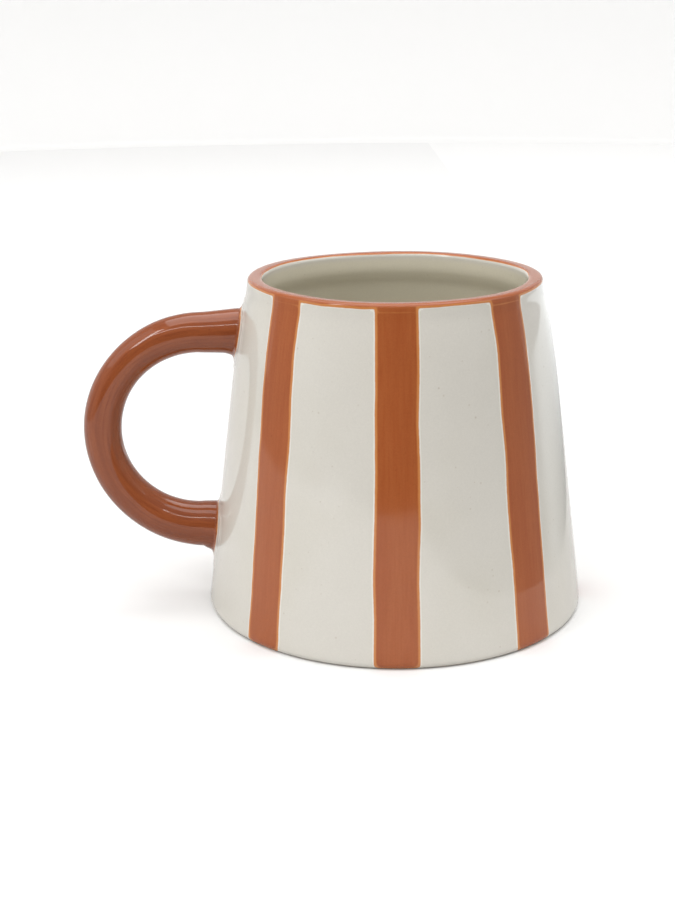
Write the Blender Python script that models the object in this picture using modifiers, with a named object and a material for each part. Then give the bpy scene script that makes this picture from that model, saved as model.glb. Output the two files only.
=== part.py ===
"""A ceramic mug: a wide-based cup with a round rod handle, a coloured lip and seven painted stripes.

The frame: +Z is up, the mug stands on z = 0, its cup is turned about the Z axis, and its handle
points along -X. Lengths are in metres.
"""

import math

import bmesh
import bpy
from mathutils import Matrix

MM = 0.001

# Cup
CUP_HEIGHT = 85.0 * MM  # the top of the coloured lip
BASE_RADIUS = 48.6 * MM  # the wall's line carried down to the table
WALL_LEAN = math.radians(7.32)
SHOULDER_START = 50.0 * MM  # the wall is a straight cone below this height
SHOULDER_PULL = 40.0  # how fast the wall curves in above it, in metres per cubic metre
WALL_THICKNESS_AT_BASE = 4.4 * MM
WALL_THICKNESS_AT_LIP = 3.1 * MM
FLOOR_TOP = 6.0 * MM
FLOOR_CORNER_RADIUS = 9.0 * MM
BASE_EDGE_RADIUS = 2.0 * MM
RECESS_RADIUS = 38.0 * MM
RECESS_DEPTH = 0.7 * MM
RECESS_RAMP = 0.8 * MM

# Colour coats: each is a thin layer that stands off the clay by a small gap
COAT_GAP = 0.3 * MM
COAT_THICKNESS = 0.35 * MM
CLAY_INSET = 0.35 * MM  # the bare clay lies this far inside the finished wall
LIP_COAT_DROP_OUTSIDE = 1.2 * MM
LIP_COAT_DROP_INSIDE = 0.6 * MM

# Stripes
STRIPE_COUNT = 7
STRIPE_PITCH = math.radians(45)
STRIPE_ANGLE = math.radians(14.2)
STRIPE_TURN = math.radians(-2)  # the painted set is a little off the handle's line
STRIPE_FOOT = 2.2 * MM
STRIPE_TOP_GAP = 0.4 * MM

# Handle: a round rod bent to a half circle, with a straight leg at each end
HANDLE_BEND_RADIUS = 25.6 * MM
HANDLE_BEND_CENTRE_OUT = 48.9 * MM
HANDLE_BEND_CENTRE_UP = 45.9 * MM
ROD_RADIUS_TOP = 5.1 * MM
ROD_RADIUS_MIDDLE = 4.85 * MM
ROD_RADIUS_BOTTOM = 5.7 * MM
ROD_BEND_STEPS = 26
ROD_LEG_STEPS = 3
ROD_BEVEL_RESOLUTION = 6

# Clay slip that bonds each end of the handle to the wall: a flared pad as wide as the rod and more
SLIP_THICKNESS = 1.0 * MM
SLIP_SPREAD_AT_ROD = 0.5 * MM
SLIP_SPREAD_AT_WALL = 1.5 * MM
SLIP_SIDES = 28
SLIP_BLANK_LENGTH = 6.0 * MM

# How far a blank or a cutter runs past the shape that it is cut to or cuts
ROD_INTO_WALL = 4.0 * MM
CUTTER_ABOVE_RIM = 5.0 * MM
CUTTER_BELOW_BASE = 20.0 * MM

# How finely the turned shapes are cut
TURN_STEPS = 64
WALL_STEPS = 10
ARC_STEPS = 6
STRIPE_STEPS = 4
MERGE = 0.00002

FULL_TURN = 2 * math.pi
QUARTER_TURN = math.pi / 2


def clear_scene():
    for thing in list(bpy.data.objects):
        bpy.data.objects.remove(thing, do_unlink=True)


def new_collection(name, hidden=False):
    group = bpy.data.collections.new(name)
    bpy.context.scene.collection.children.link(group)
    group.hide_render = hidden
    return group


def new_material(name, colour, roughness):
    made = bpy.data.materials.new(name)
    made.use_nodes = True
    shader = made.node_tree.nodes["Principled BSDF"]
    shader.inputs["Base Color"].default_value = (*colour, 1.0)
    shader.inputs["Roughness"].default_value = roughness
    shader.inputs["Metallic"].default_value = 0.0
    return made


def new_object(name, mesh, group, material=None):
    thing = bpy.data.objects.new(name, mesh)
    group.objects.link(thing)
    if material:
        mesh.materials.append(material)
    return thing


def make_cutter(thing):
    thing.hide_render = True
    thing.display_type = "WIRE"
    return thing


def wall_radius(height):
    """The radius of the finished outer wall at a height."""
    above = max(0.0, height - SHOULDER_START)
    return BASE_RADIUS - height * math.tan(WALL_LEAN) - SHOULDER_PULL * above**3


def wall_lean(height):
    """The wall's lean from upright at a height."""
    above = max(0.0, height - SHOULDER_START)
    return math.atan(math.tan(WALL_LEAN) + 3 * SHOULDER_PULL * above**2)


def inner_radius(height):
    share = height / CUP_HEIGHT
    thickness = WALL_THICKNESS_AT_BASE + (WALL_THICKNESS_AT_LIP - WALL_THICKNESS_AT_BASE) * share
    return wall_radius(height) - thickness


def arc(centre, radius, start, end, steps=ARC_STEPS):
    """Points of an arc in the turning plane, from one angle to another."""
    angles = [start + (end - start) * step / steps for step in range(steps + 1)]
    return [(centre[0] + radius * math.cos(a), centre[1] + radius * math.sin(a)) for a in angles]


def heights_between(low, high, steps=WALL_STEPS):
    """Heights from low to high, leaving out both ends."""
    return [low + (high - low) * step / steps for step in range(1, steps)]


def lip():
    """The centre, radius and lean of the clay lip's half round."""
    radius = (WALL_THICKNESS_AT_LIP - CLAY_INSET) / 2
    up = CUP_HEIGHT - COAT_GAP - COAT_THICKNESS - radius
    lean = wall_lean(up)
    out = wall_radius(up) - CLAY_INSET - radius / math.cos(lean)
    return (out, up), radius, lean


def cup_outline():
    """From the middle of the floor inside, up and over the lip, down the wall and under the base."""
    corner_up = FLOOR_TOP + FLOOR_CORNER_RADIUS
    corner_end = corner_up + FLOOR_CORNER_RADIUS * math.sin(WALL_LEAN)
    corner_out = inner_radius(corner_end) - FLOOR_CORNER_RADIUS * math.cos(WALL_LEAN)
    lip_centre, lip_radius, lip_lean = lip()
    edge_start = BASE_EDGE_RADIUS * (1 + math.sin(WALL_LEAN))
    edge_radius = wall_radius(edge_start) - CLAY_INSET
    edge_out = edge_radius - BASE_EDGE_RADIUS * math.cos(WALL_LEAN)

    points = [(0.0, FLOOR_TOP)]
    points += arc((corner_out, corner_up), FLOOR_CORNER_RADIUS, -QUARTER_TURN, WALL_LEAN)
    points += [(inner_radius(z), z) for z in heights_between(corner_end, lip_centre[1])]
    points += arc(lip_centre, lip_radius, math.pi + lip_lean, lip_lean, 2 * ARC_STEPS)
    heights = heights_between(edge_start, lip_centre[1])
    points += [(wall_radius(z) - CLAY_INSET, z) for z in reversed(heights)]
    points += arc((edge_out, BASE_EDGE_RADIUS), BASE_EDGE_RADIUS, WALL_LEAN, -QUARTER_TURN)
    points += [(RECESS_RADIUS, 0.0)]
    points += [(RECESS_RADIUS - RECESS_RAMP, RECESS_DEPTH)]
    points += [(0.0, RECESS_DEPTH)]
    return points


def lip_coat_side(offset):
    """One side of the lip's coat, from its edge inside the cup, over the top, to its edge outside."""
    centre, radius, lean = lip()
    along_wall = (-math.sin(lean), math.cos(lean))
    points = arc(centre, radius + offset, math.pi + lean, lean, 2 * ARC_STEPS)
    inside = points[0]
    outside = points[-1]
    start = [
        inside[0] - along_wall[0] * LIP_COAT_DROP_INSIDE,
        inside[1] - along_wall[1] * LIP_COAT_DROP_INSIDE,
    ]
    end = [
        outside[0] - along_wall[0] * LIP_COAT_DROP_OUTSIDE,
        outside[1] - along_wall[1] * LIP_COAT_DROP_OUTSIDE,
    ]
    return [start] + points + [end]


def turned(name, outline, group, material=None, closed=False, angle=FULL_TURN, steps=TURN_STEPS):
    """An outline in the XZ plane, turned about Z by the Screw modifier."""
    shape = bmesh.new()
    corners = [shape.verts.new((out, 0.0, up)) for out, up in outline]
    for first, second in zip(corners, corners[1:]):
        shape.edges.new((first, second))
    if closed:
        shape.edges.new((corners[-1], corners[0]))
    mesh = bpy.data.meshes.new(name)
    shape.to_mesh(mesh)
    shape.free()
    thing = new_object(name, mesh, group, material)
    screw = thing.modifiers.new("turn", "SCREW")
    screw.axis = "Z"
    screw.angle = angle
    screw.steps = steps
    screw.render_steps = steps
    screw.use_smooth_shade = True
    screw.use_merge_vertices = True
    screw.merge_threshold = MERGE
    return thing


def beyond_clay(distance):
    """The outline of the clay wall grown by a distance, carried past the rim and the base."""
    low = -CUTTER_BELOW_BASE
    high = CUP_HEIGHT + CUTTER_ABOVE_RIM
    heights = [high] + list(reversed(heights_between(low, high, 2 * WALL_STEPS))) + [low]
    return [(wall_radius(z) - CLAY_INSET + distance, z) for z in heights]


def make_cup(group, material):
    return turned("cup_body", cup_outline(), group, material)


def make_lip_coat(group, material):
    outer = lip_coat_side(COAT_GAP + COAT_THICKNESS)
    inner = lip_coat_side(COAT_GAP)
    return turned("rim_band", outer + list(reversed(inner)), group, material, closed=True)


def make_stripe(number, group, material):
    """One stripe: a narrow sector of the wall, thickened into a coat. The handle has no stripe."""
    lip_centre = lip()[0]
    top = lip_centre[1] - LIP_COAT_DROP_OUTSIDE - STRIPE_TOP_GAP
    heights = [top] + list(reversed(heights_between(STRIPE_FOOT, top))) + [STRIPE_FOOT]
    line = [(wall_radius(z) - CLAY_INSET + COAT_GAP, z) for z in heights]
    stripe = turned(
        f"stripe_{number}", line, group, material, angle=STRIPE_ANGLE, steps=STRIPE_STEPS
    )
    handle_direction = math.pi
    middle = handle_direction + number * STRIPE_PITCH + STRIPE_TURN
    stripe.rotation_euler.z = middle - STRIPE_ANGLE / 2
    thickness = stripe.modifiers.new("thickness", "SOLIDIFY")
    thickness.thickness = COAT_THICKNESS
    thickness.offset = 1.0
    return stripe


def rod_route():
    """Points along the rod with its radius at each, from inside the wall at the top to the bottom."""
    high = HANDLE_BEND_CENTRE_UP + HANDLE_BEND_RADIUS
    low = HANDLE_BEND_CENTRE_UP - HANDLE_BEND_RADIUS
    leg_start = wall_radius(high) - ROD_INTO_WALL
    leg_end = wall_radius(low) - ROD_INTO_WALL
    route = []
    for step in range(ROD_LEG_STEPS):
        out = leg_start + (HANDLE_BEND_CENTRE_OUT - leg_start) * step / ROD_LEG_STEPS
        route.append((out, high, ROD_RADIUS_TOP))
    for step in range(ROD_BEND_STEPS + 1):
        share = step / ROD_BEND_STEPS
        angle = QUARTER_TURN - math.pi * share
        out = HANDLE_BEND_CENTRE_OUT + HANDLE_BEND_RADIUS * math.cos(angle)
        up = HANDLE_BEND_CENTRE_UP + HANDLE_BEND_RADIUS * math.sin(angle)
        if share < 0.5:
            near, amount = ROD_RADIUS_TOP, 1 - 2 * share
        else:
            near, amount = ROD_RADIUS_BOTTOM, 2 * share - 1
        thick = ROD_RADIUS_MIDDLE + (near - ROD_RADIUS_MIDDLE) * amount**2
        route.append((out, up, thick))
    for step in range(1, ROD_LEG_STEPS + 1):
        out = HANDLE_BEND_CENTRE_OUT + (leg_end - HANDLE_BEND_CENTRE_OUT) * step / ROD_LEG_STEPS
        route.append((out, low, ROD_RADIUS_BOTTOM))
    return route


def make_handle(group, cutters, material):
    curve = bpy.data.curves.new("handle_rod", "CURVE")
    curve.dimensions = "3D"
    curve.bevel_depth = ROD_RADIUS_TOP
    curve.bevel_resolution = ROD_BEVEL_RESOLUTION
    curve.use_fill_caps = True
    route = rod_route()
    line = curve.splines.new("POLY")
    line.points.add(len(route) - 1)
    for point, (out, up, radius) in zip(line.points, route):
        point.co = (-out, 0.0, up, 1.0)
        point.radius = radius / ROD_RADIUS_TOP
    rod = bpy.data.objects.new("handle_rod", curve)
    group.objects.link(rod)
    bpy.context.view_layer.update()
    mesh = bpy.data.meshes.new_from_object(rod.evaluated_get(bpy.context.evaluated_depsgraph_get()))
    shape = bmesh.new()
    shape.from_mesh(mesh)
    bmesh.ops.remove_doubles(shape, verts=shape.verts, dist=MERGE)
    bmesh.ops.recalc_face_normals(shape, faces=shape.faces)
    shape.to_mesh(mesh)
    shape.free()
    handle = new_object("handle", mesh, group, material)
    handle.matrix_world = rod.matrix_world
    bpy.data.objects.remove(rod, do_unlink=True)
    bpy.data.curves.remove(curve)
    mesh.shade_smooth()

    reach = COAT_GAP + SLIP_THICKNESS + COAT_GAP
    top = (0.0, CUP_HEIGHT + CUTTER_ABOVE_RIM)
    bottom = (0.0, -CUTTER_BELOW_BASE)
    outline = [top] + beyond_clay(reach) + [bottom]
    seat = make_cutter(turned("handle_seat_cutter", outline, cutters))
    trim = handle.modifiers.new("meet_the_slip", "BOOLEAN")
    trim.operation = "DIFFERENCE"
    trim.solver = "EXACT"
    trim.object = seat
    return handle


def make_slip(name, up, rod_radius, group, cutters, material):
    """The slip that bonds one end of the handle: a short flared pad between rod and wall."""
    out = wall_radius(up) + SLIP_THICKNESS / 2
    place = Matrix.Translation((-out, 0.0, up)) @ Matrix.Rotation(QUARTER_TURN, 4, "Y")
    flare = (SLIP_SPREAD_AT_WALL - SLIP_SPREAD_AT_ROD) / SLIP_THICKNESS
    middle = rod_radius + (SLIP_SPREAD_AT_ROD + SLIP_SPREAD_AT_WALL) / 2
    grow = flare * SLIP_BLANK_LENGTH / 2
    shape = bmesh.new()
    bmesh.ops.create_cone(
        shape,
        cap_ends=True,
        segments=SLIP_SIDES,
        radius1=middle - grow,
        radius2=middle + grow,
        depth=SLIP_BLANK_LENGTH,
        matrix=place,
    )
    mesh = bpy.data.meshes.new(name)
    shape.to_mesh(mesh)
    shape.free()
    mesh.shade_smooth()
    pad = new_object(name, mesh, group, material)
    outline = beyond_clay(COAT_GAP + SLIP_THICKNESS) + list(reversed(beyond_clay(COAT_GAP)))
    layer = make_cutter(turned(f"{name}_layer_cutter", outline, cutters, closed=True))
    keep = pad.modifiers.new("keep_the_layer", "BOOLEAN")
    keep.operation = "INTERSECT"
    keep.solver = "EXACT"
    keep.object = layer
    return pad


def main():
    clear_scene()
    mug = new_collection("ceramic_mug")
    cutters = new_collection("cutters", hidden=True)
    cream = new_material("cream_glaze", (0.66, 0.64, 0.58), 0.18)
    terracotta = new_material("terracotta_glaze", (0.35, 0.10, 0.04), 0.2)
    slip = new_material("joint_slip", (0.50, 0.30, 0.18), 0.3)

    make_cup(mug, cream)
    make_lip_coat(mug, terracotta)
    for number in range(1, STRIPE_COUNT + 1):
        make_stripe(number, mug, terracotta)
    make_handle(mug, cutters, terracotta)
    upper = HANDLE_BEND_CENTRE_UP + HANDLE_BEND_RADIUS
    lower = HANDLE_BEND_CENTRE_UP - HANDLE_BEND_RADIUS
    make_slip("upper_joint_slip", upper, ROD_RADIUS_TOP, mug, cutters, slip)
    make_slip("lower_joint_slip", lower, ROD_RADIUS_BOTTOM, mug, cutters, slip)


main()
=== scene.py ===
"""The looks of a striped stoneware mug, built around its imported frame.

Each clay or paint piece of the frame gets a finely modelled piece in its place: the turned cup,
the bent handle rod, the two slip fillets that bond it, the painted lip and the seven stripes.
Lengths are in metres, +Z is up, the mug stands on z = 0 and its handle points along -X.
"""

import math

import bmesh
import bpy
from mathutils import Matrix, Vector, noise


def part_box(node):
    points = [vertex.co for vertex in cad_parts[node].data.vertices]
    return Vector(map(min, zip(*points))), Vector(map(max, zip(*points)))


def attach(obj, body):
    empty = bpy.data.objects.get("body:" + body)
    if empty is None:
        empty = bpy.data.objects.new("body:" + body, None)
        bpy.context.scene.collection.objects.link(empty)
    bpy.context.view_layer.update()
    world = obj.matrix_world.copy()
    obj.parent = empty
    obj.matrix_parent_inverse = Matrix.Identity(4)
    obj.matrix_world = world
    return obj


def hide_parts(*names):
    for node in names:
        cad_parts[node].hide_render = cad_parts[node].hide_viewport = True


MM = 0.001
FULL_TURN = 2 * math.pi
QUARTER_TURN = math.pi / 2

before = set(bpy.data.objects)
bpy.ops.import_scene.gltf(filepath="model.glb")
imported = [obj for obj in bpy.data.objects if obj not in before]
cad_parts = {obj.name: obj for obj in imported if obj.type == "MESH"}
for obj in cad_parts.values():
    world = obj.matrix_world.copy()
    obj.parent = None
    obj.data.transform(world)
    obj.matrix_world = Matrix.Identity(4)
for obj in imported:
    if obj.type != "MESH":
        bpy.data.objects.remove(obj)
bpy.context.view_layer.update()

# The cup: the frame gives its height, and its outline is the frame's, with a finer lip and floor
RIM_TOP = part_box("rim_band")[1].z
BASE_RADIUS = 48.6 * MM
WALL_LEAN = math.radians(7.32)
SHOULDER_START = 50.0 * MM
SHOULDER_PULL = 40.0
FLOOR_TOP = 6.0 * MM
FLOOR_CORNER = 9.0 * MM
FLOOR_DISH = 0.4 * MM
LIP_RIDGE = 0.65 * MM
LIP_RIDGE_START = 75.9 * MM
LIP_RIDGE_CREST = 79.3 * MM
BASE_WALL = 4.4 * MM
BASE_EDGE = 1.5 * MM
FOOT_INNER = 38.0 * MM
FOOT_OUTER = 46.2 * MM
RECESS_DEPTH = 0.7 * MM
RECESS_RAMP = 0.9 * MM
LIP_HALF = 1.9 * MM
LIP_DOME = 1.6 * MM
LIP_FLATNESS = 1 / 3
LIP_FLARE = 0.4 * MM
LIP_FLARE_START = 80.5 * MM

# How far a hand-finished cup strays from a turned one: in roundness, as shares of its radius, and
# in the waves and the lowest place of its lip
OVAL = 0.0022
THREE_SIDED = 0.0012
LIP_WAVE = 0.10 * MM
LIP_RIPPLE = 0.05 * MM
LIP_DROP = 0.1 * MM

# The handle: the frame gives the circle that its rod is bent to
HANDLE_LOW, HANDLE_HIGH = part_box("handle")
ROD_TOP = 5.1 * MM
ROD_MIDDLE = 4.85 * MM
ROD_BOTTOM = 5.7 * MM
BEND_RADIUS = (HANDLE_HIGH.z - HANDLE_LOW.z - ROD_TOP - ROD_BOTTOM) / 2
BEND_UP = HANDLE_HIGH.z - ROD_TOP - BEND_RADIUS
BEND_OUT = -HANDLE_LOW.x - ROD_MIDDLE - BEND_RADIUS

# Paint: how thick it is, how its edges thin out, and how far its mesh runs past the painted edge
PAINT_THICKNESS = 0.07 * MM
PAINT_FEATHER = 0.4 * MM
PAINT_RUN_OUT = 0.9 * MM
PAINT_MARGIN = 1.1 * MM
PAINT_SINK = 0.05 * MM
PAINT_BODY = 0.30 * MM
CORNER_SOFTNESS = 0.5 * MM
LIP_PAINT_OUTSIDE = 2.72 * MM
LIP_PAINT_INSIDE = 2.0 * MM
SEAM_DROP = 0.7 * MM
STRIPE_CORNER = 1.8 * MM
HAND_WOBBLE = 0.30 * MM
OVERLAP_TUCK = 0.03 * MM
BRUSH_DRAG = 0.06

# One line for each stripe, counted from the handle, against the clock seen from above:
# its middle at the lip and at the foot, in degrees from even spacing, and its width at both
STRIPES = [
    (-1.8, 0.8, 9.7 * MM, 10.3 * MM),
    (-2.1, -2.2, 9.8 * MM, 11.1 * MM),
    (-2.6, -3.4, 10.3 * MM, 11.8 * MM),
    (-1.2, -0.4, 9.6 * MM, 10.9 * MM),
    (0.9, -0.6, 10.1 * MM, 11.4 * MM),
    (-0.7, 1.1, 9.8 * MM, 10.8 * MM),
    (1.4, 0.3, 10.2 * MM, 11.2 * MM),
]
STRIPE_PITCH = math.radians(45)


# ---------------------------------------------------------------- the cup's outline


def smooth_step(value, low, high):
    share = min(1.0, max(0.0, (value - low) / (high - low)))
    return share * share * (3 - 2 * share)


def wall_radius(height):
    above = max(0.0, height - SHOULDER_START)
    flare = LIP_FLARE * smooth_step(height, LIP_FLARE_START, RIM_TOP)
    return BASE_RADIUS - height * math.tan(WALL_LEAN) - SHOULDER_PULL * above**3 + flare


def wall_lean(height):
    """The angle by which the wall leans in from upright."""
    step = 0.01 * MM
    return math.atan((wall_radius(height - step) - wall_radius(height + step)) / (2 * step))


def lip_rise(angle):
    """How high the lip's skin stands over its widest place. Its top is flatter than a round one."""
    return LIP_DOME * math.sin(angle) * (1 - LIP_FLATNESS * math.sin(angle) ** 2)


LIP_UP = RIM_TOP - PAINT_THICKNESS - LIP_DOME * (1 - LIP_FLATNESS)
LIP_JOIN = math.atan(math.tan(wall_lean(LIP_UP)) * LIP_DOME / LIP_HALF)
WALL_HIGH = LIP_UP + lip_rise(LIP_JOIN)
LIP_OUT = wall_radius(WALL_HIGH) - LIP_HALF * math.cos(LIP_JOIN)
WALL_LOW = BASE_EDGE * (1 + math.sin(WALL_LEAN))
EDGE_OUT = wall_radius(WALL_LOW) - BASE_EDGE * math.cos(WALL_LEAN)
GIRTH_AT_WALL = LIP_HALF * (QUARTER_TURN - LIP_JOIN)
GIRTH_AT_EDGE = GIRTH_AT_WALL + WALL_HIGH - WALL_LOW
GIRTH_AT_FOOT = GIRTH_AT_EDGE + BASE_EDGE * (WALL_LEAN + QUARTER_TURN)
GIRTH_AT_WIPE = GIRTH_AT_EDGE + BASE_EDGE * (WALL_LEAN + math.radians(58))


def skin(girth, lift=0.0):
    """The radius and height of the cup's skin, girth metres from the top of the lip down the outside.

    Below zero it runs down the inner side of the lip. Lift moves the point off the skin.
    """
    if girth < GIRTH_AT_WALL:
        angle = QUARTER_TURN - girth / LIP_HALF
        out = LIP_OUT + (LIP_HALF + lift) * math.cos(angle)
        return out, LIP_UP + lip_rise(angle) + lift * math.sin(angle)
    if girth < GIRTH_AT_EDGE:
        height = WALL_HIGH - (girth - GIRTH_AT_WALL)
        lean = wall_lean(height)
        return wall_radius(height) + lift * math.cos(lean), height + lift * math.sin(lean)
    angle = WALL_LEAN - (girth - GIRTH_AT_EDGE) / BASE_EDGE
    reach = BASE_EDGE + lift
    return EDGE_OUT + reach * math.cos(angle), BASE_EDGE + reach * math.sin(angle)


def hand_made(point):
    """Moves a point of the cup as a hand-finished cup is: a little out of round, with a wavy lip."""
    turn = math.atan2(point.y, point.x)
    share = max(0.0, point.z) / RIM_TOP
    out = 1 + OVAL * share * math.cos(2 * turn + 0.7) + THREE_SIDED * math.cos(3 * turn - 1.1)
    rise = share**3 * (LIP_WAVE * math.cos(2 * turn - 0.4) + LIP_RIPPLE * math.cos(5 * turn))
    return Vector((point.x * out, point.y * out, point.z + rise - LIP_DROP * share**3))


def spread(low, high, steps):
    """Evenly spaced values from low to high, with both ends."""
    return [low + (high - low) * step / steps for step in range(steps + 1)]


def soft_largest(first, second, softness):
    """The larger of two values, with the corner between them rounded."""
    gap = max(softness - abs(first - second), 0.0) / softness
    return max(first, second) + gap * gap * softness / 4


def soft_smallest(first, second, softness):
    return -soft_largest(-first, -second, softness)


# ---------------------------------------------------------------- mesh helpers


def finished(name, shape, material, body_slot, *replaced):
    """Makes a mesh object of a bmesh, places it on the mug and hides the frame's pieces that it replaces.
    """
    bmesh.ops.remove_doubles(shape, verts=shape.verts, dist=0.0005 * MM)
    mesh = bpy.data.meshes.new(name)
    shape.to_mesh(mesh)
    shape.free()
    mesh.shade_smooth()
    mesh.materials.append(material)
    piece = bpy.data.objects.new(name, mesh)
    bpy.context.scene.collection.objects.link(piece)
    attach(piece, "root")
    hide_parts(*replaced)
    return piece


def chain(shape, points):
    """A row of vertices joined by edges, from (radius, height) pairs."""
    row = [shape.verts.new((out, 0.0, up)) for out, up in points]
    edges = [shape.edges.new(pair) for pair in zip(row, row[1:])]
    return row + edges


def turn_round(shape, geometry, steps):
    """Spins an outline once about the Z axis and closes it."""
    bmesh.ops.spin(
        shape,
        geom=geometry,
        cent=(0, 0, 0),
        axis=(0, 0, 1),
        angle=FULL_TURN,
        steps=steps,
        use_merge=True,
    )
    bmesh.ops.remove_doubles(shape, verts=shape.verts, dist=0.001 * MM)
    bmesh.ops.recalc_face_normals(shape, faces=shape.faces)


# ---------------------------------------------------------------- shader effects


def new_group(name, inputs, outputs):
    """A shader node group with float inputs and outputs."""
    group = bpy.data.node_groups.new(name, "ShaderNodeTree")
    for label, value in inputs:
        socket = group.interface.new_socket(label, in_out="INPUT", socket_type="NodeSocketFloat")
        socket.default_value = value
    for label in outputs:
        group.interface.new_socket(label, in_out="OUTPUT", socket_type="NodeSocketFloat")
    enter = group.nodes.new("NodeGroupInput")
    leave = group.nodes.new("NodeGroupOutput")
    return group, enter, leave


def math_node(tree, operation, first, second=None, third=None):
    node = tree.nodes.new("ShaderNodeMath")
    node.operation = operation
    for socket, value in zip(node.inputs, (first, second, third)):
        if value is None:
            continue
        if isinstance(value, (int, float)):
            socket.default_value = value
        else:
            tree.links.new(value, socket)
    return node.outputs[0]


def object_coordinates(tree, stretch=(1.0, 1.0, 1.0)):
    place = tree.nodes.new("ShaderNodeTexCoord")
    mapping = tree.nodes.new("ShaderNodeMapping")
    mapping.inputs["Scale"].default_value = stretch
    tree.links.new(place.outputs["Object"], mapping.inputs["Vector"])
    return mapping.outputs["Vector"]


def noise_value(tree, where, size, detail=2.0, roughness=0.5):
    """Noise whose blobs are about size metres across, from 0 to 1."""
    node = tree.nodes.new("ShaderNodeTexNoise")
    node.inputs["Scale"].default_value = 1 / size
    node.inputs["Detail"].default_value = detail
    node.inputs["Roughness"].default_value = roughness
    tree.links.new(where, node.inputs["Vector"])
    return node.outputs["Fac"]


def glaze_relief_group():
    """The height of a fired glaze: slow waves, a fine orange peel and a few pinholes, in metres."""
    group, enter, leave = new_group(
        "glaze_relief",
        [("Waves", 4e-6), ("Peel", 5e-7), ("Pinholes", 1e-5)],
        ["Height"],
    )
    where = object_coordinates(group)
    waves = noise_value(group, where, 9 * MM, detail=1.0)
    peel = noise_value(group, where, 0.7 * MM, detail=2.0)
    cells = group.nodes.new("ShaderNodeTexVoronoi")
    cells.inputs["Scale"].default_value = 1 / (5.5 * MM)
    group.links.new(where, cells.inputs["Vector"])
    hole = math_node(group, "LESS_THAN", cells.outputs["Distance"], 0.03)
    total = math_node(group, "MULTIPLY", waves, enter.outputs["Waves"])
    total = math_node(group, "MULTIPLY_ADD", peel, enter.outputs["Peel"], total)
    dip = math_node(group, "MULTIPLY", hole, enter.outputs["Pinholes"])
    total = math_node(group, "SUBTRACT", total, dip)
    group.links.new(total, leave.inputs["Height"])
    return group


def kiln_specks_group():
    """A mask of the small iron specks that show through the glaze."""
    group, enter, leave = new_group(
        "kiln_specks", [("Spacing", 1.6 * MM), ("Share", 0.3), ("Reach", 0.16)], ["Mask"]
    )
    where = object_coordinates(group)
    cells = group.nodes.new("ShaderNodeTexVoronoi")
    group.links.new(where, cells.inputs["Vector"])
    scale = math_node(group, "DIVIDE", 1.0, enter.outputs["Spacing"])
    group.links.new(scale, cells.inputs["Scale"])
    split = group.nodes.new("ShaderNodeSeparateColor")
    group.links.new(cells.outputs["Color"], split.inputs["Color"])
    chosen = math_node(group, "LESS_THAN", split.outputs[0], enter.outputs["Share"])
    size = math_node(group, "MULTIPLY", split.outputs[1], enter.outputs["Reach"])
    away = math_node(group, "DIVIDE", cells.outputs["Distance"], size)
    soft = math_node(group, "MAXIMUM", math_node(group, "SUBTRACT", 1.0, away), 0.0)
    strength = math_node(group, "MULTIPLY", soft, split.outputs[2])
    mask = math_node(group, "MULTIPLY", strength, chosen)
    group.links.new(mask, leave.inputs["Mask"])
    return group


def mottle_group():
    """Slow and fine unevenness of a glaze's tone, about 1."""
    group, enter, leave = new_group("glaze_mottle", [("Slow", 0.03), ("Fine", 0.03)], ["Tone"])
    where = object_coordinates(group)
    slow = noise_value(group, where, 14 * MM, detail=3.0)
    fine = noise_value(group, where, 0.45 * MM, detail=3.0, roughness=0.65)
    slow = math_node(group, "SUBTRACT", slow, 0.5)
    fine = math_node(group, "SUBTRACT", fine, 0.5)
    slow = math_node(group, "MULTIPLY", slow, enter.outputs["Slow"])
    fine = math_node(group, "MULTIPLY", fine, enter.outputs["Fine"])
    tone = math_node(group, "MULTIPLY_ADD", slow, 2.0, 1.0)
    tone = math_node(group, "ADD", tone, math_node(group, "MULTIPLY", fine, 2.0))
    group.links.new(tone, leave.inputs["Tone"])
    return group


EFFECTS = {}


def effect(tree, name, **values):
    """Places one of the shared effects in a material, with its own values."""
    node = tree.nodes.new("ShaderNodeGroup")
    node.node_tree = EFFECTS[name]
    for label, value in values.items():
        node.inputs[label].default_value = value
    return node.outputs[0]


def colour_mix(tree, share, first, second, blend="MIX"):
    node = tree.nodes.new("ShaderNodeMix")
    node.data_type = "RGBA"
    node.blend_type = blend
    for label, value in (("Factor", share), ("A", first), ("B", second)):
        socket = node.inputs[label]
        if isinstance(value, tuple):
            socket.default_value = (*value, 1.0)
        elif isinstance(value, (int, float)):
            socket.default_value = value
        else:
            tree.links.new(value, socket)
    return node.outputs["Result"]


def toned(tree, colour, tone):
    """A colour multiplied by a grey value."""
    grey = tree.nodes.new("ShaderNodeCombineColor")
    for channel in range(3):
        tree.links.new(tone, grey.inputs[channel])
    return colour_mix(tree, 1.0, colour, grey.outputs["Color"], "MULTIPLY")


def new_material(name):
    made = bpy.data.materials.new(name)
    made.use_nodes = True
    tree = made.node_tree
    shader = tree.nodes["Principled BSDF"]
    shader.inputs["Metallic"].default_value = 0.0
    shader.inputs["IOR"].default_value = 1.5
    return made, tree, shader


def add_relief(tree, shader, height):
    bump = tree.nodes.new("ShaderNodeBump")
    bump.inputs["Strength"].default_value = 1.0
    bump.inputs["Distance"].default_value = 1.0
    tree.links.new(height, bump.inputs["Height"])
    tree.links.new(bump.outputs["Normal"], shader.inputs["Normal"])


def ramp(tree, value, low, high):
    """Maps a value from low..high to 0..1, smoothly."""
    node = tree.nodes.new("ShaderNodeMapRange")
    node.interpolation_type = "SMOOTHSTEP"
    node.inputs["From Min"].default_value = low
    node.inputs["From Max"].default_value = high
    tree.links.new(value, node.inputs["Value"])
    return node.outputs["Result"]


# ---------------------------------------------------------------- materials

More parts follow.
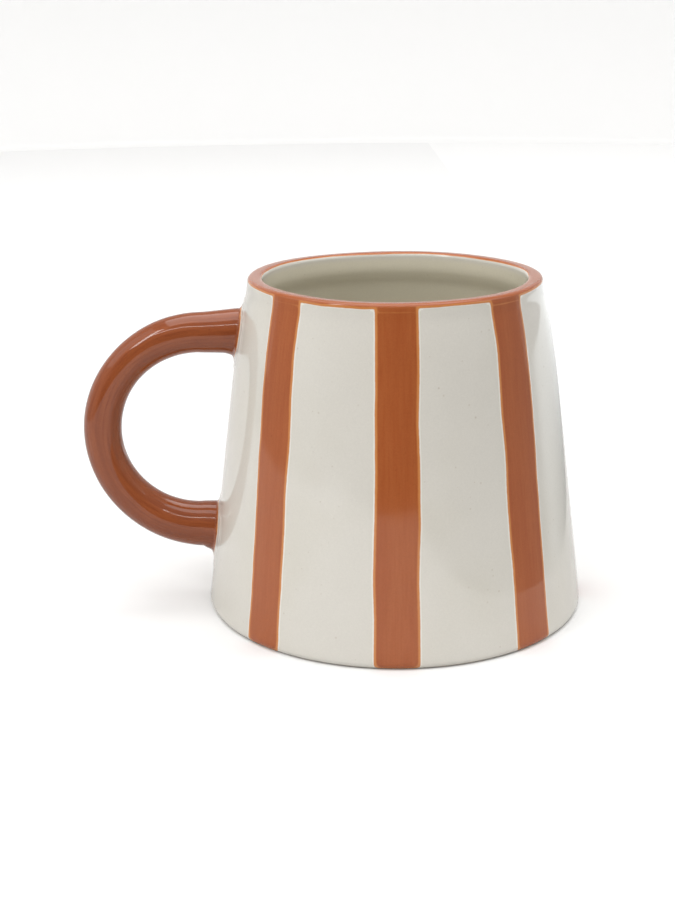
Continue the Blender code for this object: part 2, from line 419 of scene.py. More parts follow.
CREAM = (0.635, 0.610, 0.556)
CREAM_POOL = (0.616, 0.590, 0.528)
# The cream inside the cup is painted shade: the same glaze made darker and yellower on the inner wall and
# floor
CREAM_INSIDE_SHADE = (0.600, 0.562, 0.452)
SPECK = (0.36, 0.28, 0.20)
TERRACOTTA = (0.370, 0.100, 0.028)
TERRACOTTA_DEEP = (0.31, 0.068, 0.017)
# The handle's terracotta is the stripes' paint made darker: painted shade for the dimmer light round the
# handle
ROD_PAINT_SHADED = (0.285, 0.074, 0.023)
ROD_PAINT_DEEP_SHADED = (0.20, 0.045, 0.013)
THIN_PAINT = (0.56, 0.215, 0.065)
# A whitish line just outside the stripes' and lip's painted edges: a painted highlight
EDGE_HIGHLIGHT = (0.74, 0.72, 0.66)
DARK_SPECK = (0.16, 0.035, 0.012)
BARE_CLAY = (0.60, 0.50, 0.39)


def cream_glaze():
    """Glossy cream glaze with iron specks, darker and yellower on the inner wall and floor as painted
    shade. The foot below it is bare, buff clay.
    """
    made, tree, shader = new_material("cream_glaze")
    place = tree.nodes.new("ShaderNodeTexCoord")
    split = tree.nodes.new("ShaderNodeSeparateXYZ")
    tree.links.new(place.outputs["Object"], split.inputs["Vector"])

    tone = effect(tree, "glaze_mottle", Slow=0.03, Fine=0.065)
    pooled = ramp(tree, noise_value(tree, object_coordinates(tree), 22 * MM), 0.4, 0.75)
    colour = colour_mix(tree, pooled, CREAM, CREAM_POOL)
    # Painted shade: the inside mask turns the inner wall and floor to the darker, yellower cream
    inside = tree.nodes.new("ShaderNodeAttribute")
    inside.attribute_name = "inside"
    colour = colour_mix(tree, inside.outputs["Fac"], colour, CREAM_INSIDE_SHADE)
    colour = toned(tree, colour, tone)
    specks = effect(tree, "kiln_specks", Spacing=1.5 * MM, Share=0.42, Reach=0.24)
    colour = colour_mix(tree, math_node(tree, "MULTIPLY", specks, 0.6), colour, SPECK)
    dots = effect(tree, "kiln_specks", Spacing=6.5 * MM, Share=0.3, Reach=0.07)
    colour = colour_mix(tree, math_node(tree, "MULTIPLY", dots, 0.5), colour, SPECK)

    wander = noise_value(tree, object_coordinates(tree), 6 * MM)
    line = math_node(tree, "MULTIPLY_ADD", wander, 0.6 * MM, split.outputs["Z"])
    glazed = ramp(tree, line, 0.45 * MM, 0.75 * MM)
    clay_tone = noise_value(tree, object_coordinates(tree), 0.5 * MM, detail=4.0)
    clay = toned(tree, BARE_CLAY, ramp(tree, clay_tone, -0.6, 1.0))
    tree.links.new(colour_mix(tree, glazed, clay, colour), shader.inputs["Base Color"])

    gloss = noise_value(tree, object_coordinates(tree), 5 * MM)
    roughness = math_node(tree, "MULTIPLY_ADD", gloss, 0.05, 0.045)
    rough = tree.nodes.new("ShaderNodeMix")
    rough.data_type = "FLOAT"
    tree.links.new(glazed, rough.inputs["Factor"])
    rough.inputs["A"].default_value = 0.85
    tree.links.new(roughness, rough.inputs["B"])
    tree.links.new(rough.outputs["Result"], shader.inputs["Roughness"])

    relief = effect(tree, "glaze_relief", Waves=5e-6, Peel=4e-7, Pinholes=8e-6)
    grit = math_node(tree, "MULTIPLY", clay_tone, math_node(tree, "SUBTRACT", 1.0, glazed))
    add_relief(tree, shader, math_node(tree, "MULTIPLY_ADD", grit, 6e-5, relief))
    return made


def terracotta_paint(name, body_tone, deep_tone, bare_and_highlight_tone, streaks):
    """Brushed terracotta under clear glaze, thinner and lighter along its painted edges. Just outside
    them a lighter tone shows: a whitish painted highlight on the stripes and lip, the cream glaze's own
    colour on the fillets.
    """
    made, tree, shader = new_material(name)
    depth = tree.nodes.new("ShaderNodeAttribute")
    depth.attribute_name = "paint_depth"
    brush = tree.nodes.new("ShaderNodeAttribute")
    brush.attribute_name = "brush_place"
    where = object_coordinates(tree)
    ragged = noise_value(tree, where, 1.3 * MM, detail=3.0)
    ragged = math_node(tree, "MULTIPLY", math_node(tree, "SUBTRACT", ragged, 0.5), 0.16)
    inside = math_node(tree, "ADD", depth.outputs["Fac"], ragged)

    broad = ramp(tree, noise_value(tree, brush.outputs["Vector"], 2.4 * MM, detail=2.0), 0.3, 0.7)
    marks = noise_value(tree, brush.outputs["Vector"], 0.55 * MM, detail=3.0, roughness=0.6)
    marks = ramp(tree, marks, 0.38, 0.78)
    body = colour_mix(tree, math_node(tree, "MULTIPLY", broad, 0.8 * streaks), body_tone, deep_tone)
    body = colour_mix(tree, math_node(tree, "MULTIPLY", marks, streaks), body, deep_tone)
    body = toned(tree, body, effect(tree, "glaze_mottle", Slow=0.05, Fine=0.13))
    specks = effect(tree, "kiln_specks", Spacing=2.2 * MM, Share=0.35, Reach=0.18)
    body = colour_mix(tree, math_node(tree, "MULTIPLY", specks, 0.6), body, DARK_SPECK)

    thick = ramp(tree, inside, 0.3, 0.8)
    painted = colour_mix(tree, thick, THIN_PAINT, body)
    # Outside the painted edge: a whitish painted highlight on the stripes and lip, the plain cream on the
    # fillets
    covered = ramp(tree, inside, -0.1, 0.08)
    colour = colour_mix(tree, covered, bare_and_highlight_tone, painted)
    tree.links.new(colour, shader.inputs["Base Color"])

    gloss = noise_value(tree, where, 4 * MM)
    tree.links.new(math_node(tree, "MULTIPLY_ADD", gloss, 0.05, 0.04), shader.inputs["Roughness"])
    relief = effect(tree, "glaze_relief", Waves=6e-6, Peel=6e-7, Pinholes=8e-6)
    add_relief(tree, shader, math_node(tree, "MULTIPLY_ADD", marks, -1.0e-6, relief))
    return made


# ---------------------------------------------------------------- the cup


def inner_outline():
    """From the middle of the floor to the inner side of the lip."""
    lip_wall = wall_radius(LIP_UP) - LIP_OUT + LIP_HALF

    def inner_radius(height):
        wall = BASE_WALL + (lip_wall - BASE_WALL) * height / LIP_UP
        ridge = LIP_RIDGE * smooth_step(height, LIP_RIDGE_START, LIP_RIDGE_CREST)
        return wall_radius(height) - wall - ridge

    def above_crest(share):
        """From the ridge's crest (0) to the lip (1), where the wall stands upright."""
        start = inner_radius(LIP_RIDGE_CREST)
        slope = (start - inner_radius(LIP_RIDGE_CREST - MM)) / MM * (LIP_UP - LIP_RIDGE_CREST)
        rest = smooth_step(share, 0.0, 1.0)
        out = start + (LIP_OUT - LIP_HALF - start) * rest + slope * share * (1 - share) ** 2
        return out, LIP_RIDGE_CREST + (LIP_UP - LIP_RIDGE_CREST) * share

    corner_up = FLOOR_TOP + FLOOR_CORNER
    corner_end = corner_up + FLOOR_CORNER * math.sin(WALL_LEAN)
    corner_out = inner_radius(corner_end) - FLOOR_CORNER * math.cos(WALL_LEAN)
    points = [
        (corner_out * share, FLOOR_TOP - FLOOR_DISH * (1 - share * share))
        for share in spread(0.0, 1.0, 14)[:-1]
    ]
    for angle in spread(-QUARTER_TURN, WALL_LEAN, 16):
        out = corner_out + FLOOR_CORNER * math.cos(angle)
        up = corner_up + FLOOR_CORNER * math.sin(angle)
        points.append((out, up))
    points += [(inner_radius(up), up) for up in spread(corner_end, LIP_RIDGE_CREST, 70)[1:-1]]
    points += [above_crest(share) for share in spread(0.0, 1.0, 20)[:-1]]
    return points


def cup_piece(material):
    points = inner_outline()
    lip_start = -LIP_HALF * QUARTER_TURN
    points += [skin(girth) for girth in spread(lip_start, GIRTH_AT_WALL, 22)]
    points += [skin(girth) for girth in spread(GIRTH_AT_WALL, GIRTH_AT_EDGE, 84)[1:]]
    points += [skin(girth) for girth in spread(GIRTH_AT_EDGE, GIRTH_AT_FOOT, 10)[1:]]
    points += [(out, 0.0) for out in spread(FOOT_OUTER, FOOT_INNER, 5)]
    for share in (0.33, 0.67, 1.0):
        points.append((FOOT_INNER - RECESS_RAMP * share, RECESS_DEPTH * smooth_step(share, 0.0, 1.0)))
    points += [(out, RECESS_DEPTH) for out in spread(FOOT_INNER - RECESS_RAMP, 0.0, 10)[1:]]
    shape = bmesh.new()
    turn_round(shape, chain(shape, points), 240)
    # The inside mask marks the inner wall and floor, where painted shade darkens the cream glaze
    inside = shape.verts.layers.float.new("inside")
    for corner in shape.verts:
        behind_skin = wall_radius(corner.co.z) - corner.co.xy.length
        above_base = smooth_step(corner.co.z, RECESS_DEPTH, FLOOR_TOP - FLOOR_DISH)
        below_lip = smooth_step(corner.co.z, RIM_TOP - 0.8 * MM, RIM_TOP - 2.6 * MM)
        corner[inside] = smooth_step(behind_skin, 1.2 * MM, 2.4 * MM) * above_base * below_lip
        corner.co = hand_made(corner.co)
    return finished("cup", shape, material, "cream_glaze", "cup_body")


# ---------------------------------------------------------------- painted coats


def wobble(seed, place, reach):
    """A slow wander of a painted edge, as a hand holding a brush makes."""
    slow = noise.noise(Vector((seed * 7.31, place / (17 * MM), 0.5)))
    quick = noise.noise(Vector((seed * 3.77, place / (5 * MM), 9.5)))
    return reach * (1.3 * slow + 0.35 * quick)


def stripe_middle(number, girth):
    at_lip, at_foot, _, _ = STRIPES[number]
    share = girth / GIRTH_AT_FOOT
    drift = math.radians(at_lip + (at_foot - at_lip) * share)
    return math.pi + (number + 1) * STRIPE_PITCH + drift


def stripe_half_width(number, girth, side):
    _, _, at_lip, at_foot = STRIPES[number]
    share = girth / GIRTH_AT_FOOT
    half = (at_lip + (at_foot - at_lip) * share) / 2
    return half + wobble(number * 2 + side, girth, HAND_WOBBLE)


def depth_in_stripe(number, turn, girth):
    """How far a place lies inside one stripe's painted edges. Outside it is negative."""
    radius = skin(girth)[0]
    away = math.remainder(turn - stripe_middle(number, girth), FULL_TURN) * radius
    side = 1 if away > 0 else 0
    across = stripe_half_width(number, girth, side) - abs(away)
    foot = GIRTH_AT_WIPE + wobble(number + 40, away, 0.3 * HAND_WOBBLE)
    return soft_smallest(across, foot - girth, STRIPE_CORNER)


def depth_in_lip(turn, girth):
    place = turn * LIP_OUT
    return LIP_PAINT_OUTSIDE + wobble(60, place, 1.1 * HAND_WOBBLE) - girth


def depth_inside_lip(turn, girth):
    return girth + LIP_PAINT_INSIDE + wobble(80, turn * LIP_OUT, 0.8 * HAND_WOBBLE)


def lift_of(depth):
    """How far the paint stands off the skin: sunk out of sight outside its edge, full inside."""
    share = smooth_step(depth, -PAINT_RUN_OUT, PAINT_FEATHER)
    return -PAINT_SINK + (PAINT_THICKNESS + PAINT_SINK) * share


def coat_layers(shape):
    """What the paint needs at each vertex: its depth inside the edge, and where on the brush's way."""
    depth = shape.verts.layers.float.new("paint_depth")
    brush = shape.verts.layers.float_vector.new("brush_place")
    return depth, brush


def put_on_skin(corner, turn, girth, lift):
    out, up = skin(girth, lift)
    corner.co = hand_made(Vector((out * math.cos(turn), out * math.sin(turn), up)))


def face_outwards(shape):
    """Turns the faces of an open coat so that its outermost face looks away from the axis."""
    bmesh.ops.recalc_face_normals(shape, faces=shape.faces)
    outermost = max(shape.faces, key=lambda face: face.calc_center_median().xy.length_squared)
    if outermost.normal.xy.dot(outermost.calc_center_median().xy) < 0:
        bmesh.ops.reverse_faces(shape, faces=shape.faces)


def thickened(shape, back):
    """Closes an open coat with a second skin behind it, back metres towards the clay."""
    face_outwards(shape)
    bmesh.ops.solidify(shape, geom=shape.faces, thickness=back)
    bmesh.ops.recalc_face_normals(shape, faces=shape.faces)


def stripe_piece(number, material):
    """One stripe: a grid laid on the wall that follows its two painted edges."""
    columns = 36
    rows = 124
    top = 0.9 * MM
    bottom = GIRTH_AT_FOOT - 0.12 * BASE_EDGE
    shape = bmesh.new()
    depth_layer, brush_layer = coat_layers(shape)
    bmesh.ops.create_grid(shape, x_segments=columns, y_segments=rows, size=0.5)
    for corner in shape.verts:
        across = corner.co.x + 0.5
        down = corner.co.y + 0.5
        girth = top + (bottom - top) * down
        radius = skin(girth)[0]
        left = stripe_half_width(number, girth, 0) + PAINT_MARGIN
        right = stripe_half_width(number, girth, 1) + PAINT_MARGIN
        crowd = (1 - math.cos(math.pi * across)) / 2
        away = -left + (left + right) * crowd
        turn = stripe_middle(number, girth) + away / radius
        depth = depth_in_stripe(number, turn, girth)
        depth = soft_largest(depth, depth_in_lip(turn, girth), CORNER_SOFTNESS)
        corner[depth_layer] = tone_depth(depth, turn, girth)
        corner[brush_layer] = Vector((away, girth * BRUSH_DRAG, number * 40 * MM))
        tuck = OVERLAP_TUCK * smooth_step(girth, 2.9 * MM, 1.5 * MM)
        put_on_skin(corner, turn, girth, lift_of(depth) - tuck)
    thickened(shape, PAINT_BODY)
    name = f"stripe_{number + 1}"
    return finished(f"painted_{name}", shape, material, "terracotta_glaze", name)


def tone_depth(depth, turn, girth):
    """The depth that sets the paint's tone, in millimetres. A thin line shows where lip meets stripe."""
    seam = 0.42 + abs(depth_in_lip(turn, girth) + SEAM_DROP) / (0.9 * MM)
    return min(depth / MM, seam) if depth > 0 else depth / MM


def lip_piece(material):
    """The painted lip: a ring over the lip whose lower edge flows into the stripes."""
    steps = 720
    shape = bmesh.new()
    depth_layer, brush_layer = coat_layers(shape)
    inner_edge = -LIP_PAINT_INSIDE - PAINT_MARGIN
    outer_edge = LIP_PAINT_OUTSIDE + PAINT_MARGIN + 0.7 * MM
    row = chain(shape, [(1.0, girth / MM) for girth in spread(inner_edge, outer_edge, 42)])
    turn_round(shape, row, steps)
    for corner in shape.verts:
        turn = math.atan2(corner.co.y, corner.co.x) % FULL_TURN
        girth = corner.co.z * MM
        depth = depth_in_lip(turn, girth)
        nearest = round((turn - math.pi) % FULL_TURN / STRIPE_PITCH) - 1
        if girth > 0 and 0 <= nearest < len(STRIPES):
            depth = soft_largest(depth, depth_in_stripe(nearest, turn, girth), CORNER_SOFTNESS)
        depth = soft_smallest(depth, 2 * depth_inside_lip(turn, girth), 0.2 * MM)
        corner[depth_layer] = tone_depth(depth, turn, girth)
        drag = LIP_OUT * BRUSH_DRAG
        corner[brush_layer] = Vector((drag * math.cos(turn), drag * math.sin(turn), girth))
        tuck = OVERLAP_TUCK * smooth_step(girth, 1.9 * MM, 3.3 * MM)
        put_on_skin(corner, turn, girth, lift_of(depth) - tuck)
    thickened(shape, PAINT_BODY)
    return finished("painted_lip", shape, material, "terracotta_glaze", "rim_band")


# ---------------------------------------------------------------- the handle

UPPER_LEG = BEND_UP + BEND_RADIUS
LOWER_LEG = BEND_UP - BEND_RADIUS
UPPER_SAG = 0.6 * MM
LOWER_SAG = 0.3 * MM
HEEL = 0.25 * MM
ROD_SPREAD = 0.55 * MM
UPPER_SPREAD = 12.0 * MM
LOWER_SPREAD = 5.0 * MM
BEND_SAG = 0.12 * MM
BEND_THINNING = 0.15 * MM
BEND_BULGE = 0.25 * MM
ROD_SINK = 0.5 * MM
FILLET_CORE = 5.0 * MM
FILLET = 2.0 * MM
FILLET_RISE = 1.1 * MM
FILLET_LAP = 0.03 * MM
FILLET_PAINT = 0.9 * MM
APRON_END = 4.6 * MM
APRON = 0.16 * MM
LUMPS = 0.16 * MM
SMEAR = 0.75 * MM
SMEAR_LENGTH = 4.2 * MM
FINGER_HOLLOWS = 0.09 * MM
FINGER_MARKS = 0.03 * MM
FILLET_BACK = 0.7 * MM
FILLET_DEPTH = 0.5 * MM
DEEP_IN_PAINT = 20.0


def wall_face(across, up):
    """How far out the wall lies on the handle's side, at a place across the handle and up the cup."""
    return math.sqrt(wall_radius(up) ** 2 - across**2)


def rod_radius(share):
    """The rod's radius along its bend, from the upper leg (0) to the lower one (1)."""
    if share < 0.5:
        thinner = BEND_THINNING * math.sin(FULL_TURN * share) ** 2
        return ROD_MIDDLE + (ROD_TOP - ROD_MIDDLE) * (1 - 2 * share) ** 2 - thinner
    return ROD_MIDDLE + (ROD_BOTTOM + HEEL - ROD_MIDDLE) * (2 * share - 1) ** 2


def bend_drift(angle):
    """How far the hand-bent rod strays outwards from a true half circle: it sags as it dries."""
    slow = (UPPER_SAG - LOWER_SAG) / 2 + (UPPER_SAG + LOWER_SAG) / 2 * math.cos(angle)
    return BEND_BULGE * math.sin(angle) ** 2 - BEND_SAG * math.sin(2 * angle) - slow


def leg(upper, gap):
    """The height of the rod's middle and its radius, gap metres from the wall. It spreads at the wall."""
    near_wall = smooth_step(gap, UPPER_SPREAD if upper else LOWER_SPREAD, 0.0)
    if upper:
        return UPPER_LEG - UPPER_SAG * (1 - near_wall / 2), ROD_TOP + ROD_SPREAD * near_wall
    return LOWER_LEG - LOWER_SAG * (1 + near_wall), ROD_BOTTOM + HEEL + ROD_SPREAD / 2 * near_wall


def smear(rise, gap):
    """How much the clay was pressed downwards by the thumb, under each joint."""
    return SMEAR * max(0.0, -rise) ** 2 * smooth_step(gap, SMEAR_LENGTH, 0.0) ** 2


def fingered(out, away):
    """The slight unevenness that fingers leave on a coil of clay, by its place along and round it."""
    point = away * ROD_MIDDLE + Vector((out, 0, 0))
    hollows = FINGER_HOLLOWS * noise.noise(point / (11 * MM))
    return hollows + FINGER_MARKS * noise.noise(point / (4 * MM))


def handle_piece(material):
    sides = 64
    bend_steps = 120
    leg_steps = 30
    shape = bmesh.new()
    layers = coat_layers(shape)
    start = Matrix.Translation((-BEND_OUT, 0, UPPER_LEG)) @ Matrix.Rotation(QUARTER_TURN, 4, "Y")
    made = bmesh.ops.create_circle(shape, segments=sides, radius=ROD_MIDDLE, matrix=start)
    first = list({edge for corner in made["verts"] for edge in corner.link_edges})
    spun = bmesh.ops.spin(
        shape,
        geom=made["verts"] + first,
        cent=(-BEND_OUT, 0, BEND_UP),
        axis=(0, 1, 0),
        angle=-math.pi,
        steps=bend_steps,
    )
    last = [part for part in spun["geom_last"] if isinstance(part, bmesh.types.BMEdge)]
    for edges in (first, last):
        for _ in range(leg_steps):
            grown = bmesh.ops.extrude_edge_only(shape, edges=edges)["geom"]
            corners = [part for part in grown if isinstance(part, bmesh.types.BMVert)]
            edges = [part for part in grown if isinstance(part, bmesh.types.BMEdge)]
            bmesh.ops.translate(shape, verts=corners, vec=(BEND_OUT / leg_steps, 0, 0))
        bmesh.ops.holes_fill(shape, edges=edges)
    bmesh.ops.recalc_face_normals(shape, faces=shape.faces)
    for corner in shape.verts:
        if corner.co.x < -BEND_OUT - 0.01 * MM:
            place_on_bend(corner, *layers)
        else:
            place_on_leg(corner, *layers)
    return finished("handle_rod", shape, material, "terracotta_glaze", "handle")


def place_on_bend(corner, depth_layer, brush_layer):
    """Gives a vertex of the plain tube's bend its place on the tapered rod."""
    angle = math.atan2(-corner.co.x - BEND_OUT, corner.co.z - BEND_UP)
    outward = Vector((-math.sin(angle), 0, math.cos(angle)))
    middle = Vector((-BEND_OUT, 0, BEND_UP)) + outward * BEND_RADIUS
    away = (corner.co - middle).normalized()
    around = Vector((0, away.y, away.dot(outward)))
    radius = rod_radius(angle / math.pi) + fingered(BEND_OUT + math.sin(angle) * BEND_RADIUS, around)
    corner.co = middle + outward * bend_drift(angle) + away * radius
    corner[depth_layer] = DEEP_IN_PAINT
    along = (angle - QUARTER_TURN) * BEND_RADIUS
    corner[brush_layer] = Vector((radius * away.dot(outward), radius * away.y, along * BRUSH_DRAG))


def place_on_leg(corner, depth_layer, brush_layer):
    """Gives a vertex of one of the tube's legs its place, so that the leg's end follows the wall."""
    upper = corner.co.z > BEND_UP
    side = 1 if upper else -1
    share = 1 + corner.co.x / BEND_OUT
    away = Vector((0, corner.co.y, corner.co.z - (UPPER_LEG if upper else LOWER_LEG)))
    if away.length > 0:
        away.normalize()
    height, radius = leg(upper, 0.0)
    face = wall_face(radius * away.y, height + radius * away.z) - ROD_SINK
    out = face + (BEND_OUT - face) * (1 - share)
    gap = out - face - ROD_SINK
    height, radius = leg(upper, gap)
    radius += smear(away.z, gap) + fingered(out, Vector((0, away.y, side * away.z)))
    along = side * (out - BEND_OUT - QUARTER_TURN * BEND_RADIUS)
    corner.co = Vector((-out, radius * away.y, height + radius * away.z))
    corner[depth_layer] = rod_paint_depth(upper, away, gap)
    corner[brush_layer] = Vector((side * radius * away.z, radius * away.y, along * BRUSH_DRAG))


def rod_paint_depth(upper, away, gap):
    """How far a place by one of the rod's ends lies inside the painted rod, in millimetres."""
    edge = 0.10 + 0.25 * away.z if upper else 0.05 + 0.25 * away.z
    edge -= 0.35 * noise.noise(away * 2.2 + Vector((9.0 if upper else 3.0, 0, 0)))
    return 2 * (gap / MM - edge)


def fillet_outline():
    """The slip from the rod out over the wall, as (reach from the rod, gap to the wall) pairs."""
    outline = []
    for angle in spread(0.0, QUARTER_TURN, 14):
        reach = FILLET * (1 - math.cos(angle))
        gap = (FILLET_RISE - APRON) * (1 - math.sin(angle)) + APRON
        outline.append((reach - FILLET_LAP * (1 - math.sin(angle)), gap))
    for reach in spread(FILLET, APRON_END, 14)[1:]:
        share = smooth_step(reach, APRON_END, FILLET)
        outline.append((reach, (APRON + FILLET_LAP) * share - FILLET_LAP))
    outline += [(APRON_END, -FILLET_DEPTH), (-FILLET_BACK, -FILLET_DEPTH)]
    return outline + [(-FILLET_BACK, FILLET_RISE - 0.3 * MM)]


def fillet_piece(name, upper, material, node):
    """The slip pressed round one end of the handle: a hollow fillet, and a thin smear over the wall."""
    middle = leg(upper, 0.0)[0]
    side = 1 if upper else -1
    shape = bmesh.new()
    depth_layer, brush_layer = coat_layers(shape)
    row = [shape.verts.new((FILLET_CORE + reach, 0.0, gap)) for reach, gap in fillet_outline()]
    edges = [shape.edges.new(pair) for pair in zip(row, row[1:] + row[:1])]
    turn_round(shape, row + edges, 144)
    for corner in shape.verts:
        reach = corner.co.xy.length - FILLET_CORE
        gap = corner.co.z
        away = Vector((0, corner.co.x, corner.co.y)).normalized()
        plump = 1 + 0.3 * noise.noise(away * 1.6 + Vector((middle / MM, 0, 0)))
        lumps = noise.noise(away * 2.6 + Vector((reach / (1.9 * MM), middle / MM, 0)))
        lumps += 0.5 * noise.noise(corner.co / (0.8 * MM))
        lumps *= LUMPS * smooth_step(reach, 0.4 * MM, 1.8 * MM)
        lumps *= smooth_step(reach, APRON_END, 2.6 * MM)
        short_of_edge = 2 * (FILLET_PAINT * plump - reach) / MM
        painted = min(rod_paint_depth(upper, away, gap), short_of_edge)
        gap = gap * plump + lumps if gap > 0 else gap
        height, radius = leg(upper, max(gap, 0.0))
        radius += smear(away.z, max(gap, 0.0)) + (reach * plump if reach > 0 else reach)
        out = wall_face(radius * away.y, height + radius * away.z) + gap
        radius += fingered(out, Vector((0, away.y, side * away.z)))
        corner.co = Vector((-out, radius * away.y, height + radius * away.z))
        corner[depth_layer] = painted
        corner[brush_layer] = Vector((radius * away.z, radius * away.y, gap * BRUSH_DRAG))
    bmesh.ops.recalc_face_normals(shape, faces=shape.faces)
    return finished(name, shape, material, "joint_slip", node)


# ---------------------------------------------------------------- the studio


def studio_material(name, grey, bounce):
    """Matt white, as bright as grey to the camera and as bright as bounce to the light it throws back."""
    made, tree, shader = new_material(name)
    path = tree.nodes.new("ShaderNodeLightPath")
    seen = colour_mix(tree, path.outputs["Is Camera Ray"], (bounce,) * 3, (grey,) * 3)
    tree.links.new(seen, shader.inputs["Base Color"])
    shader.inputs["Roughness"].default_value = 0.9
    shader.inputs["Specular IOR Level"].default_value = 0.0
    return made


def stage_piece(name, shape, material, bounces):
    """Part of the set. A piece that doesn't bounce light shows to the camera, and no glaze mirrors it."""
    mesh = bpy.data.meshes.new(name)
    shape.to_mesh(mesh)
    shape.free()
    mesh.shade_smooth()
    mesh.materials.append(material)
    thing = bpy.data.objects.new(name, mesh)
    bpy.context.scene.collection.objects.link(thing)
    thing.visible_glossy = bounces
    thing.visible_diffuse = bounces
    return thing


ROOM = 1.7
TABLE_LEFT = -0.39
TABLE_RIGHT = 0.097
TABLE_FRONT = -0.475
TABLE_BACK = 1.2
SWEEP_RADIUS = 0.5
SWEEP_TOP = 2.4
SWEEP_SINK = 0.5 * MM
LIGHTS_AIM = Vector((0, 0, 45 * MM))


def floor_faces(keep_table):
    """The floor, cut along the table's edges, keeping the table or the rest."""
    shape = bmesh.new()
    bmesh.ops.create_grid(shape, x_segments=1, y_segments=1, size=ROOM)
    for place, across in (
        ((TABLE_LEFT, 0, 0), (1, 0, 0)),
        ((TABLE_RIGHT, 0, 0), (1, 0, 0)),
        ((0, TABLE_FRONT, 0), (0, 1, 0)),
        ((0, TABLE_BACK, 0), (0, 1, 0)),
    ):
        everything = shape.verts[:] + shape.edges[:] + shape.faces[:]
        bmesh.ops.bisect_plane(shape, geom=everything, plane_co=place, plane_no=across)
    drop = []
    for face in shape.faces:
        middle = face.calc_center_median()
        on_table = TABLE_LEFT < middle.x < TABLE_RIGHT and TABLE_FRONT < middle.y < TABLE_BACK
        if on_table != keep_table:
            drop.append(face)
    bmesh.ops.delete(shape, geom=drop, context="FACES")
    return shape


def sweep(start, angle):
    """Part of the round backdrop: it rises from the floor in a curve and goes up."""
    shape = bmesh.new()
    curve_start = ROOM - SWEEP_RADIUS
    points = [(curve_start, -SWEEP_SINK)]
    for turn in spread(-QUARTER_TURN, 0.0, 16):
        up = SWEEP_RADIUS + SWEEP_RADIUS * math.sin(turn)
        points.append((curve_start + SWEEP_RADIUS * math.cos(turn), up))
    points.append((ROOM, SWEEP_TOP))
    row = chain(shape, points)
    bmesh.ops.rotate(shape, verts=shape.verts, cent=(0, 0, 0), matrix=Matrix.Rotation(start, 3, "Z"))
    bmesh.ops.spin(shape, geom=row, cent=(0, 0, 0), axis=(0, 0, 1), angle=angle, steps=72)
    return shape


def area_light(name, width, height, place, power):
    lamp = bpy.data.lights.new(name, "AREA")
    lamp.shape = "RECTANGLE"
    lamp.size = width
    lamp.size_y = height
    lamp.energy = power
    thing = bpy.data.objects.new(name, lamp)
    bpy.context.scene.collection.objects.link(thing)
    thing.location = place
    aim = LIGHTS_AIM - Vector(place)
    thing.rotation_euler = aim.to_track_quat("-Z", "Y").to_euler()


def room_light():
    """The room's own light, and the brighter walls that the glaze mirrors, by their direction."""
    world = bpy.data.worlds.new("room")
    bpy.context.scene.world = world
    world.use_nodes = True
    tree = world.node_tree
    room = tree.nodes["Background"]
    place = tree.nodes.new("ShaderNodeTexCoord")
    split = tree.nodes.new("ShaderNodeSeparateXYZ")
    tree.links.new(place.outputs["Generated"], split.inputs["Vector"])
    above = ramp(tree, split.outputs["Z"], 0.0, 0.25)
    path = tree.nodes.new("ShaderNodeLightPath")
    sides = math_node(tree, "ABSOLUTE", split.outputs["X"])
    seen = math_node(tree, "MULTIPLY_ADD", ramp(tree, sides, 0.6, 0.95), 0.42, 0.12)
    high = ramp(tree, split.outputs["Z"], -0.35, -0.08)
    behind = math_node(tree, "MULTIPLY", ramp(tree, split.outputs["Y"], 0.22, 0.48), high)
    right = math_node(tree, "MULTIPLY_ADD", ramp(tree, split.outputs["X"], 0.0, 0.3), 1.05, 0.7)
    seen = math_node(tree, "MULTIPLY_ADD", behind, right, seen)
    seen = math_node(tree, "MULTIPLY_ADD", ramp(tree, split.outputs["Z"], 0.25, 0.8), 0.35, seen)
    lit = math_node(tree, "MULTIPLY_ADD", above, 0.87, 0.08)
    tint = colour_mix(tree, path.outputs["Is Glossy Ray"], (1.0, 0.99, 0.97), (0.96, 0.99, 1.0))
    tree.links.new(tint, room.inputs["Color"])
    strength = tree.nodes.new("ShaderNodeMix")
    strength.data_type = "FLOAT"
    tree.links.new(path.outputs["Is Glossy Ray"], strength.inputs["Factor"])
    tree.links.new(lit, strength.inputs["A"])
    tree.links.new(seen, strength.inputs["B"])
    tree.links.new(strength.outputs["Result"], room.inputs["Strength"])


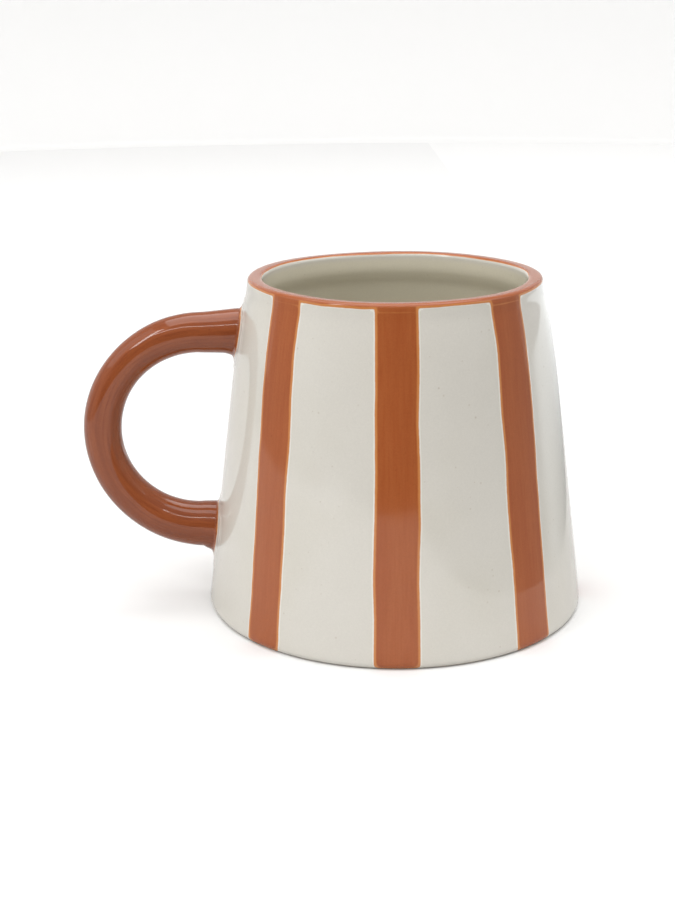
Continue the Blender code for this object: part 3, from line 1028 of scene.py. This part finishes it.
def studio():
    pale = studio_material("studio_white", 0.88, 0.88)
    stage_piece("table", floor_faces(True), studio_material("table_white", 0.84, 0.70), True)
    stage_piece("floor", floor_faces(False), pale, False)
    stage_piece("backdrop_behind", sweep(math.radians(10), math.radians(160)), pale, True)
    stage_piece("backdrop_front", sweep(math.radians(170), math.radians(200)), pale, False)
    area_light("overhead_softbox", 1.5, 1.5, (0.0, 0.15, 1.5), 13.8)
    area_light("left_softbox", 0.8, 0.8, (-1.1, -0.1, 0.9), 1.4)
    area_light("right_softbox", 0.8, 0.8, (1.1, -0.1, 0.9), 2.0)
    area_light("key_softbox", 0.15, 0.46, (-0.73, -0.53, 0.82), 1.8)
    area_light("strip_light", 1.3, 0.05, (-0.25, -0.85, 0.93), 2.0)
    room_light()


CAMERA_PLACE = Vector((-19.3, -368.5, 153.1)) * MM
CAMERA_HEADING = math.radians(-0.73)
CAMERA_DIP = 0.2992
CAMERA_ROLL = -0.0097
LENS = 59.9
SENSOR = 36.0


def camera():
    """Looks at the mug from the front, a little from above, with the handle on its left."""
    lens = bpy.data.cameras.new("camera")
    lens.sensor_width = SENSOR
    lens.lens = LENS
    thing = bpy.data.objects.new("camera", lens)
    bpy.context.scene.collection.objects.link(thing)
    place = Matrix.Translation(CAMERA_PLACE)
    heading = Matrix.Rotation(CAMERA_HEADING, 4, "Z")
    tilt = Matrix.Rotation(QUARTER_TURN - CAMERA_DIP, 4, "X")
    roll = Matrix.Rotation(CAMERA_ROLL, 4, "Z")
    thing.matrix_world = place @ heading @ tilt @ roll
    bpy.context.scene.camera = thing


def main():
    EFFECTS["glaze_relief"] = glaze_relief_group()
    EFFECTS["kiln_specks"] = kiln_specks_group()
    EFFECTS["glaze_mottle"] = mottle_group()
    # The stripes' and lip's paint has a whitish painted highlight just outside its edges
    paint = terracotta_paint("terracotta_stripe", TERRACOTTA, TERRACOTTA_DEEP, EDGE_HIGHLIGHT, 0.45)
    # The rod's and fillets' paint is darker than the stripes' as painted shade
    rod_paint = terracotta_paint("terracotta_rod_shaded", ROD_PAINT_SHADED, ROD_PAINT_DEEP_SHADED, CREAM, 0.75)

    cup_piece(cream_glaze())
    lip_piece(paint)
    for number in range(len(STRIPES)):
        stripe_piece(number, paint)
    handle_piece(rod_paint)
    fillet_piece("upper_slip_fillet", True, rod_paint, "upper_joint_slip")
    fillet_piece("lower_slip_fillet", False, rod_paint, "lower_joint_slip")
    studio()
    camera()
    bpy.context.scene.view_settings.view_transform = "Standard"


main()
